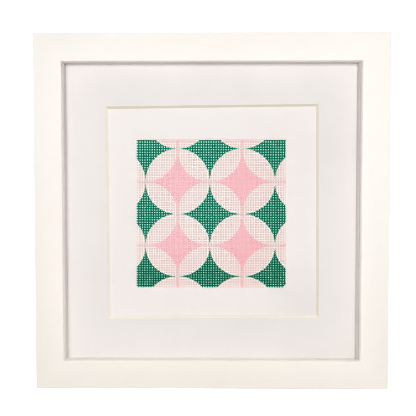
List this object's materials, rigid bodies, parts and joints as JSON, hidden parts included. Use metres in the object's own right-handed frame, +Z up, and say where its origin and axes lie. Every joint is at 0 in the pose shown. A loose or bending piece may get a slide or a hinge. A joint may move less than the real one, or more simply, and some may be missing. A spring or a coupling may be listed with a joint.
{
  "type": "needlepoint canvas panel in a square box frame",
  "caption": "Flat open-mesh needlepoint canvas painted with overlapping circles, floated on a board behind a bevelled window mat in a deep frame that stands on its lower edge.",
  "frame": {"origin": "middle of the underside of the lower rail, which the panel stands on, at mid depth", "axes": "+X to the right as seen from the front, -Y out of the painted face, +Z up"},
  "size_m": [0.2696, 0.035, 0.2706],
  "materials": {
    "painted_canvas": "open cotton mesh painted pale pink, pink and green",
    "board_paper": "smooth white paper on board",
    "mat_paper": "off-white paper board with a cream bevel",
    "spacer_card": "plain grey card strip",
    "rail_paint": "satin white paint on wood"
  },
  "bodies": {
    "root": {"canvas": "painted_canvas", "mount_board": "board_paper", "window_mat": "mat_paper", "spacer_left": "spacer_card", "spacer_right": "spacer_card", "spacer_top": "spacer_card", "spacer_bottom": "spacer_card", "rail_left": "rail_paint", "rail_right": "rail_paint", "rail_top": "rail_paint", "rail_bottom": "rail_paint"}
  },
  "joints": []
}
